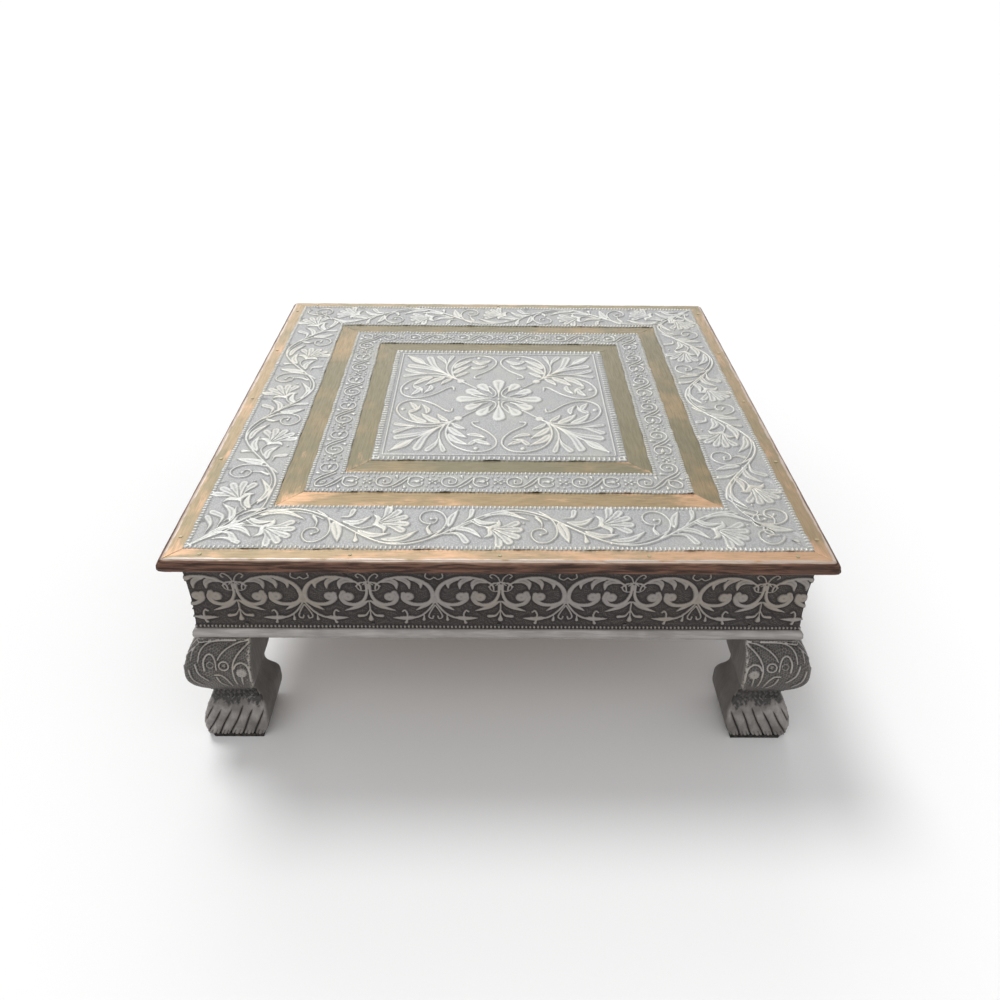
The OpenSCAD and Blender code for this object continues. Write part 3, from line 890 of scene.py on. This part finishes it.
def embossed_strip(name, side, outer, inner, relief, seed, lift, step):
    """A mitred strip of embossed sheet with uneven, slightly lifted edges."""
    middle = (outer + inner) / 2

    def shift(x, r, z):
        px = pattern_x(x, side)
        w = middle - r
        raised, foot = relief.sample(px, w)
        upper = z > GROUND - FACE_MARGIN
        dots = punched(px + 40 * side, w, 1.25, seed) * (1 - raised)
        near_out = np.exp(-(outer - r) / 3.0)
        near_in = np.exp(-(r - inner) / 3.0)
        dr = 0.45 * (near_out * wave(x, seed) - near_in * wave(x, seed + 3.1))
        rise = lift * (near_out * np.clip(wave(x, seed + 1.7) - 0.25, 0, 1)
                       + 0.7 * near_in * np.clip(wave(x, seed + 4.3) - 0.35, 0, 1))
        dz = rise + 0.05 * wave(x + 3 * w, seed, (37.0, 15.0, 6.0))
        dz = dz + np.where(upper, emboss(raised, foot, dots), 0)
        # Both edges of the strip, with their bead rows, are painted brighter as a painted highlight.
        finish = shade(raised, foot, dots) + 0.35 * (near_out + near_in)
        return dr, dz, {"relief": np.where(upper, finish, 0)}

    columns = int(2 * outer / step)
    return mitred_bar(name, sheet_outline(outer, inner, int((outer - inner) / step)), columns,
                      side, shift)


def flat_bar(name, side, outer, inner, high, seed, warm, painted_light_lean=0.0, rubbed=False):
    """A thin plain strip, warmer and brighter towards its right end by the given share, which is
    painted light that evens out the lamps' fall-off along it.

    A rubbed strip has a rounder, paler outer corner, worn pale and also painted pale as a highlight.
    """
    rounding = 0.5 if rubbed else 0.25
    r = np.linspace(outer - rounding, inner, 24)
    outline = np.vstack([[[outer, BOARD_TOP], [outer, high - rounding]],
                         np.stack([r, np.full(24, high)], 1), [[inner, BOARD_TOP]]])

    def shift(x, r_, z):
        upper = z > BOARD_TOP + FACE_MARGIN
        dz = np.where(upper, 0.05 * wave(x + 2 * r_, seed, (43.0, 17.0, 5.0)), 0)
        toward_front = -turned(np.stack([x, -r_, z], -1), side)[..., 1] / outer
        corner = np.exp(-(r_ - np.abs(x)) / 16.0) * np.clip(toward_front, 0, 1)
        # The pale band along the outer edge is worn metal and a painted highlight.
        rim_wear_and_highlight = np.exp(-((outer - r_) / 2.0)**2) * (0.8 + 0.3 * wave(x, seed, (57.0, 21.0, 8.0)))
        # The share along x paints the strip brighter towards its right end, painted light where the
        # lamps leave it darker.
        return 0 * r_, dz, {"corner": corner, "warm": warm + painted_light_lean * x / outer,
                            "rim_wear_and_highlight": rubbed * rim_wear_and_highlight}

    return mitred_bar(name, outline, 420, side, shift)


# How far the ornament of each side is moved along, and where its last volute has its eye
BORDER_SHIFTS = (0.0, -15.0, 0.0, 9.0)
CORNER_VOLUTES = ((191, -10), (177, -12), (191, -10), (191, -10))
# How coppery the brass of each side is
WARMTH = (0.13, 0.0, -0.02, 0.02)
# How far the brass bands run under the sheets beside them
TUCK = 1.6
narrow = narrow_relief()
for side, side_name in enumerate(SIDES):
    wide = border_relief(BORDER_SHIFTS[side], CORNER_VOLUTES[side])
    warm = WARMTH[side]
    finished(embossed_strip("border_" + side_name, side, BORDER_OUT, BAND_OUT, wide,
                            1.3 + side, 0.9, 0.485),
             "white_metal", "outer_border_" + side_name)
    finished(embossed_strip("narrow_border_" + side_name, side, NARROW_OUT, NARROW_BAND_OUT, narrow,
                            6.1 + side, 1.1, 0.37),
             "white_metal", "inner_border_" + side_name)
    finished(flat_bar("brass_band_" + side_name, side, BAND_OUT + TUCK, NARROW_OUT - TUCK,
                      BRASS_TOP, 2.2 + side, warm),
             "band_brass", "outer_band_" + side_name)
    finished(flat_bar("brass_inner_band_" + side_name, side, NARROW_BAND_OUT + TUCK,
                      PANEL_OUT - TUCK, BRASS_TOP, 3.4 + side, warm / 3 - 0.06),
             "band_brass", "inner_band_" + side_name)
    # The front edge strip is painted brighter towards its right end, to even out the lamps.
    finished(flat_bar("brass_edge_strip_" + side_name, side, ARRIS, BORDER_OUT - TUCK, STRIP_TOP,
                      4.8 + side, warm + 0.03, painted_light_lean=0.16 * (side == 0), rubbed=True),
             "edge_brass", "edge_strip_" + side_name)


def centre_panel():
    """The embossed panel, one sheet made as a bar across the whole square."""
    relief = panel_relief()
    step = 0.65
    rows = int(2 * PANEL_OUT / step)
    outline = sheet_outline(PANEL_OUT, -PANEL_OUT, rows)
    x = np.linspace(-1, 1, rows)[:, None] * PANEL_OUT
    x, y = np.broadcast_arrays(x, -outline[:, 0])
    z = np.broadcast_to(outline[:, 1], x.shape)
    upper = z > GROUND - FACE_MARGIN
    raised, foot = relief.sample(x, y)
    dots = punched(x, y, 1.35, 8.2) * (1 - raised)
    edge = np.exp(-(PANEL_OUT - np.maximum(np.abs(x), np.abs(y))) / 3.0)
    rise = 0.9 * edge * np.clip(wave(x + y, 5.5) - 0.2, 0, 1) * (y < 0)
    swell = 1 + 0.004 * edge * wave(x - y, 2.9)
    z = z + rise + np.where(upper, emboss(raised, foot, dots), 0)
    piece = tube_mesh("centre_sheet", np.stack([x * swell, y * swell, z], -1),
                      {"relief": np.where(upper, shade(raised, foot, dots), 0)}, flip=True)
    finished(piece, "white_metal", "centre_panel")


centre_panel()


# ---------------- edge, apron and base moulding
# Where the front edge moulding has a fine seam
SEAM_AT = -101.0


def edge_moulding(side):
    """The rounded wooden edge, with dents and a worn upper corner that is also painted pale as a
    highlight.
    """
    inner = ARRIS - 19.0
    nose = 1.5
    drop = BOARD_TOP - SLAB_LOW - nose
    a = np.radians(np.linspace(90, 0, 26))
    curve = np.stack([ARRIS + (HALF - ARRIS) * np.sin(a), BOARD_TOP - drop * (1 - np.cos(a))], 1)
    top = np.linspace(ARRIS - 0.8, inner, 6)
    outline = np.vstack([[[inner, SLAB_LOW], [HALF - nose, SLAB_LOW]], curve,
                         np.stack([top, np.full(6, BOARD_TOP)], 1)])

    def shift(x, r, z):
        outside = np.clip((r - ARRIS) / 2.0, 0, 1)
        fibre = 0.10 * wave(x + 9 * z, 1.1 + side, (33.0, 12.0, 4.1)) * outside
        dent = np.clip(wave(x, 7.7 + side, (47.0, 13.0, 5.3)) - 0.75, 0, 1)
        spread = 1 + 0.5 * np.cos(np.pi * x / HALF) + 0.3 * wave(x, 0.8 + side, (83.0, 37.0, 12.0))
        # How near a point is to the arris: it places the dents, the worn wood and the painted
        # highlight.
        arris_wear_and_highlight = np.exp(-(((r - ARRIS) / 2.4)**2 + ((z - BOARD_TOP) / 2.2)**2) / spread)
        seam = np.exp(-((x - SEAM_AT) / 0.5)**2) * (side == 0) * outside
        blunt = 1.6 * np.exp(-(r - np.abs(x)) / 1.6) * outside
        return (fibre - 0.5 * seam - 0.6 * dent * arris_wear_and_highlight - blunt, -0.35 * dent * arris_wear_and_highlight,
                {"arris_wear_and_highlight": arris_wear_and_highlight})

    finished(mitred_bar("edge_moulding_wood_" + SIDES[side], outline, 460, side, shift),
             "edge_wood", "edge_moulding_" + SIDES[side])


def apron_sheet(side, relief):
    """The dark embossed sheet over the cove of the apron."""
    step = 0.525
    rows = int(APRON_H / step)
    z = np.linspace(SHEET_LOW, SLAB_LOW, rows)
    u = (2 * z - SHEET_LOW - SLAB_LOW) / APRON_H
    face = APRON_OUT - COVE_DEPTH * (1 - u * u)
    back = [[face[i] - SKIN, z[i]] for i in (-1, rows // 2, 0)]
    outline = np.vstack([np.stack([face, z], 1), back])

    def shift(x, r, z_):
        outer = np.zeros(r.shape, bool)
        outer[:, :rows] = True
        px = pattern_x(x, side)
        raised, foot = relief.sample(px, z_ - SLAB_LOW)
        dots = punched(px, z_, 1.15, 3.0 + side) * (1 - raised)
        dr = np.where(outer, 0.85 * raised - 0.3 - 0.16 * dots
                      + 0.12 * wave(x + z_, 2.0 + side, (53.0, 19.0, 7.0)), 0)
        specks = 0.5 * np.clip(1 - 3 * dots, 0, 1) * (1 - raised)
        return dr, 0 * r, {"relief": np.where(outer, shade(raised, foot, dots) + specks, 0)}

    finished(mitred_bar("apron_sheet_" + SIDES[side] + "_embossed", outline,
                        int(2 * APRON_OUT / step), side, shift),
             "dark_metal", "apron_sheet_" + SIDES[side])


def base_moulding(side):
    """The half-round under the apron sheet, a little uneven along its length."""
    inner = BASE_OUT - 4.6
    middle = (SHEET_LOW + LEG_TOP) / 2
    half = (SHEET_LOW - LEG_TOP) / 2
    a = np.radians(np.linspace(-90, 90, 25))
    swell = np.cos(a)**0.75
    nose = np.stack([BASE_OUT - 3.2 + 3.2 * swell, middle + half * np.sin(a)], 1)
    outline = np.vstack([[[inner, LEG_TOP]], nose, [[inner, SHEET_LOW]]])

    def shift(x, r, z):
        bend = 0.22 * wave(x, 3.3 + side, (71.0, 29.0, 11.0)) * (r > inner + 1)
        crease = -0.28 * np.exp(-((z - middle - 1.2) / 0.5)**2) * (r > inner + 1)
        return bend + crease, 0 * r, {}

    finished(mitred_bar("base_moulding_metal_" + SIDES[side], outline, 300, side, shift),
             "base_metal", "base_moulding_" + SIDES[side])


apron_work = apron_relief()
for side in range(4):
    edge_moulding(side)
    apron_sheet(side, apron_work)
    base_moulding(side)


# ---------------- legs
CLADDING_LOW = 38.0
LEG_ROW = 0.55
FACE_COLUMNS = 92
LEG_CORNER = 4.5
CAST_H = 1.0
TOE_DEPTH = 3.0
TUFT_W = 4.2
TUFT_H = 3.9
TUFT_DEPTH = 1.5
TOE_LEVELS = (8.0, 25.0)
TOE_GROOVES = ((-13.0, -3.0), (-4.0, 7.0), (4.5, 15.0), (14.0, 22.7), (22.4, 30.6), (31.5, 39.0),
               (40.6, 47.4), (49.0, 55.0))


def leg_rows():
    """Down the CAD leg's outline: the way down its face, the level, the outer and inner setback."""
    face = np.vstack([
        [(9.6, LEG_TOP)],
        bezier((9.4, 93), (4, 91), (-2, 82), (-2, 69), 40),
        bezier((-2, 69), (-2, 60), (4, 52), (11, 43), 40),
        [(11, 43)],
        bezier((9.4, CLADDING_LOW), (6.5, 31), (1, 25), (0.8, 12), 40),
        [(0.8, 12), (0.8, PAD_TOP)],
    ])
    back = np.vstack([
        [(46, PAD_TOP)],
        bezier((46.8, 5), (50, 8), (51, 12), (51, 18), 20),
        bezier((51, 24), (51, 34), (43.5, 38), (43.5, 47), 20),
        bezier((43.5, 47), (43.5, 54), (48.5, 56), (48.5, 66), 20),
        [(48.5, 66), (48.5, LEG_TOP)],
    ])
    length = arc_length(face)
    down = np.linspace(0, length[-1], int(length[-1] / LEG_ROW))
    outer = np.interp(down, length, face[:, 0])
    level = np.interp(down, length, face[:, 1])
    inner = np.interp(level, back[:, 1], back[:, 0])
    return np.stack([down, level, outer, inner], 1)


def leg_relief():
    """The cast work on a leg's face: x is the setback, y the way down the face, downwards."""
    relief = Relief((-4, 54), (-72, 1), 0.2)
    pen = Pen(relief)
    pen.line([(48, -1.2), (41, -3.2), (33, -7.6), (27.6, -12.6), (25.0, -17)], 0.9, 0.6)
    pen.line([(48.6, -2.4), (42.6, -9), (38, -15.4), (35.6, -22), (35.4, -30), (36.6, -40)], 0.9, 0.7)
    pen.line([(38, -1.6), (24, -2.2), (16.4, -5.2), (12.4, -11), (10.8, -18.5)], 0.9, 0.6)
    pen.line([(20, -2.2), (11.6, -4.4), (7.2, -10), (5.6, -17.5)], 0.8, 0.5)
    pen.line([(36.2, -24), (38.4, -20.4), (42.4, -19.2), (46, -22), (47.4, -27.6), (47.2, -36)],
             0.9, 0.7)
    pen.dot(41.4, -28.0, 4.3, 0.85)
    pen.line([(41.2, -32), (40.8, -41)], 0.8, 0.5)
    pen.line([(15.0, -25.5), (14.8, -18.4), (17.4, -13.2), (21.0, -13.4), (23.2, -18),
              (23.6, -25)], 0.85, 0.65, height=0.9)
    pen.ring(19.4, -21.2, 2.4, 0.55, height=0.6)
    pen.ring(29.2, -21.8, 3.5, 0.75)
    pen.dot(29.2, -21.6, 1.7, 0.5)
    pen.line([(22, -29.5), (26.6, -30), (30.4, -35), (32.4, -43)], 0.9, 0.6)
    pen.line([(23, -32), (25, -38), (29.4, -44)], 0.8, 0.5)
    pen.line([(8.6, -21), (10.6, -29), (16.5, -35.6)], 0.9, 0.6)
    pen.line([(3.4, -25), (5, -34), (11, -42)], 0.8, 0.5)
    for down in range(8, 44, 6):
        pen.dot(50.3, -down, 1.7, 0.75)
        pen.dot(47.6, -down - 3.0, 1.1, 0.6)
    return relief.settle()


def fur(along, down):
    """Overlapping rows of small pointed tufts, 0 to 1."""
    across = along + 1.4 * wave(down, 2.0, (17.0, 7.0, 3.1))
    sink = down + 1.6 * wave(along, 5.0, (13.0, 6.0, 2.9))
    row = np.floor(sink / TUFT_H)
    u = np.mod(across / TUFT_W + 0.5 * row, 1) - 0.5
    v = np.mod(sink / TUFT_H, 1)
    uneven = 0.7 + 0.3 * wave(3 * across + sink, 8.0, (11.0, 5.0, 2.3))
    return np.clip(1.15 - (2 * np.abs(u))**1.6, 0, 1) * v**0.8 * uneven


def step_down(value, high, low):
    """1 above high, 0 below low, smooth between."""
    s = np.clip((value - low) / (high - low), 0, 1)
    return s * s * (3 - 2 * s)


def toes(along, level):
    """How far the paw's face is pushed in at the grooves between its toes and at its claws."""
    share = (level - TOE_LEVELS[0]) / (TOE_LEVELS[1] - TOE_LEVELS[0])
    edges = [low + (high - low) * share + 0.35 * np.sin(level / 4.6 + low)
             for low, high in TOE_GROOVES]
    bulge = np.zeros_like(along)
    claw = np.zeros_like(along)
    for a, b in zip(edges, edges[1:]):
        q = 2 * (along - a) / (b - a) - 1
        inside = np.abs(q) <= 1
        rounded = np.sqrt(np.clip(1 - 0.95 * q**4, 0, 1)) - 0.12 * q * q
        bulge = np.where(inside, rounded, bulge)
        claw = np.where(inside, np.exp(-((np.abs(q) - 0.36) / 0.13)**2), claw)
    start = 32.5 + 1.8 * np.sin(along / 4.1)
    grooves = TOE_DEPTH * (1 - bulge) * step_down(start - level, 9, 0)
    return grooves + 1.1 * claw * step_down(9.5 - level, 2.5, 0)


def leg_outside(rows, push=0.0):
    """The two outer faces of a leg as a grid, from one inner edge round to the other."""
    _, _, outer, inner = (column[:, None] for column in rows.T)
    outer = outer + push
    s = np.linspace(0, 1, FACE_COLUMNS)
    a = np.radians(np.linspace(0, 90, 12))[1:-1]
    flat = inner + (outer + LEG_CORNER - inner) * s
    even = outer + 0 * s
    t1 = np.hstack([flat, outer + LEG_CORNER * (1 - np.sin(a)), even])
    t2 = np.hstack([even, outer + LEG_CORNER * (1 - np.cos(a)), flat[:, ::-1]])
    out1 = np.concatenate([0 * s, np.sin(a), 1 + 0 * s])
    along = np.maximum(t1, t2)
    edge = 1.3 * (1 - np.sqrt(1 - np.clip((along - inner + 1.3) / 1.3, 0, 1)**2 * 0.98))
    out2 = out1[::-1]
    return t1 + edge * out1, t2 + edge * out2, out1, out2, along


def leg_tube(name, level, outside, inside, corner, attributes):
    """A closed tube down a leg from an outer grid, its levels and what closes it behind."""
    t1 = np.hstack([outside[0], inside[0]])
    t2 = np.hstack([outside[1], inside[1]])
    behind = level[:, -1:] + 0 * inside[0]
    level = np.hstack([level + 0 * outside[0], behind])
    points = turned(np.stack([-HALF + t1, -HALF + t2, level], -1), corner)
    padded = {key: np.hstack([value, np.full(inside[0].shape, key == "inner")])
              for key, value in attributes.items()}
    return tube_mesh(name, points, padded)


def leg_wood(corner, rows):
    """The carved leg: plain under its cladding, then an ankle of fur and a paw with toes."""
    down, level, _, inner = (column[:, None] for column in rows.T)
    under = level > CLADDING_LOW
    t1, t2, out1, out2, along = leg_outside(rows, SKIN * under)
    grooves = np.where(under, 0, toes(along, level))
    ragged = 31.0 + 3.0 * wave(along, 4.0, (19.0, 8.0, 3.7))
    furry = np.where(under, 0, step_down(level, ragged + 5, ragged - 3))
    tufts = fur(along, down)
    lumps = 0.25 * wave(along + 2 * level, 1.0 + corner, (15.0, 8.0, 4.3)) + 0.25
    push_in = grooves + np.where(under, 0, TUFT_DEPTH * furry * (0.8 - tufts) + 0.8 * lumps)
    t1, t2 = t1 + push_in * out1, t2 + push_in * out2
    s = np.linspace(0, 1, 20)[None, 1:]
    left, right = t1[:, -1:], t2[:, :1]
    close1 = np.hstack([left + (inner - left) * s, inner + 0 * s[:, :-1]])
    close2 = np.hstack([inner + 0 * s, inner + (right - inner) * s[:, :-1]])
    # The crease value marks where the paw is painted dark as shade: the toe grooves and claw hollows.
    attributes = {"crease": np.clip(grooves / TOE_DEPTH, 0, 1) * 1.1,
                  "fur": furry * (1.1 - 0.9 * tufts), "inner": 0 * t1}
    piece = leg_tube("leg_wood_" + CORNERS[corner], level, (t1, t2), (close1, close2), corner,
                     attributes)
    finished(piece, "paw_wood", "leg_" + CORNERS[corner])


def leg_skin(corner, rows, relief):
    """The cast-looking metal cladding over the two outer faces of a leg."""
    rows = rows[rows[:, 1] >= CLADDING_LOW]
    down, level, _, inner = (column[:, None] for column in rows.T)
    t1, t2, out1, out2, along = leg_outside(rows)
    raised, foot = relief.sample(along, -down + 0 * along)
    ragged = 47.5 + 4.0 * wave(along, 9.0, (23.0, 9.0, 4.0))
    furry = 1 - step_down(level, ragged + 5, ragged - 1)
    tufts = fur(along, down)
    dots = punched(along, down, 1.9, 4.0 + corner) * (1 - raised)
    proud = (1 - furry) * (CAST_H * raised - 0.3 * dots) + furry * TUFT_DEPTH * (tufts - 0.1) - 0.35
    proud = proud * np.clip((LEG_TOP - level) / 1.5, 0, 1) * np.clip((inner - along) / 1.5, 0, 1)
    hem = 1.3 * (1 + wave(along, 3.0, (13.0, 7.0, 3.3))) * np.exp((CLADDING_LOW - level) / 3.0)
    back1, back2, _, _, _ = leg_outside(rows, SKIN)
    keep = slice(None, None, -8)
    specks = 0.5 * np.clip(1 - 3 * dots, 0, 1) * (1 - raised)
    rubbed = 0.55 * np.exp(-((inner - along) / 2.2)**2) + 0.5 * np.exp(-((LEG_TOP - level) / 1.6)**2)
    finish = (1 - furry) * (shade(raised, foot, dots) + specks + rubbed) + furry * (0.9 * tufts - 0.45)
    level = level - hem
    piece = leg_tube("leg_sheet_" + CORNERS[corner], level, (t1 - proud * out1, t2 - proud * out2),
                     (back1[:, keep], back2[:, keep]), corner, {"relief": finish})
    finished(piece, "leg_metal", "leg_cladding_" + CORNERS[corner])


leg_work = leg_relief()
leg_grid = leg_rows()
for corner in range(4):
    leg_wood(corner, leg_grid)
    leg_skin(corner, leg_grid, leg_work)


# ---------------- plain CAD nodes that stay in view
KEPT = (
    ("raw_wood_x", "raw_wood", ["top_board", "apron_rail_front", "apron_rail_back"]),
    ("raw_wood_y", "raw_wood", ["apron_rail_left", "apron_rail_right"]),
    ("raw_wood_z", "raw_wood", ["leg_dowels"] + ["corner_block_" + name for name in CORNERS]),
    ("screw_steel", "screw_steel", ["block_screws", "board_screws"]),
    ("tack_brass", "tack_brass", ["sheet_tacks"]),
    ("pad", "pad", ["foot_pad_" + name for name in CORNERS]),
)
for material, slot, nodes in KEPT:
    for node in nodes:
        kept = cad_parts[node]
        kept.data.materials.clear()
        kept.data.materials.append(MATERIALS[material])


# ---------------- floor, light and camera
def plain_floor():
    bpy.ops.mesh.primitive_plane_add(size=30)
    floor = bpy.context.object
    floor.name = "floor"
    s = Shader("floor", roughness=0.9, specular=0.1)
    paper = s.noise(s.place(), 3.0, 2.0)
    floor.data.materials.append(s.finish(s.mix(paper, (0.86, 0.86, 0.86), (0.88, 0.88, 0.88))))


def soft_sun(name, toward, strength, angle):
    """Even light from a wide part of the studio's ceiling or wall."""
    lamp = bpy.data.lights.new(name, "SUN")
    lamp.energy = strength
    lamp.angle = math.radians(angle)
    obj = bpy.data.objects.new(name, lamp)
    bpy.context.scene.collection.objects.link(obj)
    obj.rotation_euler = Vector(toward).to_track_quat("Z", "Y").to_euler()


def studio_walls(light, backdrop):
    """An even white world, brighter where it is seen directly than as a light."""
    world = bpy.data.worlds.new("studio")
    world.use_nodes = True
    tree = world.node_tree
    lit = tree.nodes["Background"]
    seen = tree.nodes.new("ShaderNodeBackground")
    for background, strength in ((lit, light), (seen, backdrop)):
        background.inputs["Color"].default_value = (1.0, 1.0, 1.0, 1.0)
        background.inputs["Strength"].default_value = strength
    path = tree.nodes.new("ShaderNodeLightPath")
    either = tree.nodes.new("ShaderNodeMixShader")
    tree.links.new(path.outputs["Is Camera Ray"], either.inputs[0])
    tree.links.new(lit.outputs[0], either.inputs[1])
    tree.links.new(seen.outputs[0], either.inputs[2])
    tree.links.new(either.outputs[0], tree.nodes["World Output"].inputs["Surface"])
    bpy.context.scene.world = world


plain_floor()
soft_sun("overhead", (-0.5, 0.7, 1.5), 1.45, 20)
soft_sun("back_window", (-0.15, 1.0, 0.42), 0.85, 50)
soft_sun("front_fill", (-0.35, -1.0, 0.9), 0.5, 60)
studio_walls(0.58, 1.0)

camera_data = bpy.data.cameras.new("photo_view")
camera_data.lens = 29.1
camera = bpy.data.objects.new("photo_view", camera_data)
bpy.context.scene.collection.objects.link(camera)
camera.location = (-0.005, -0.6385, STRIP_TOP * MM + 0.3417)
camera.rotation_euler = [math.radians(angle) for angle in (54.78, -0.56, -0.24)]
bpy.context.scene.camera = camera
bpy.context.scene.view_settings.view_transform = "Standard"
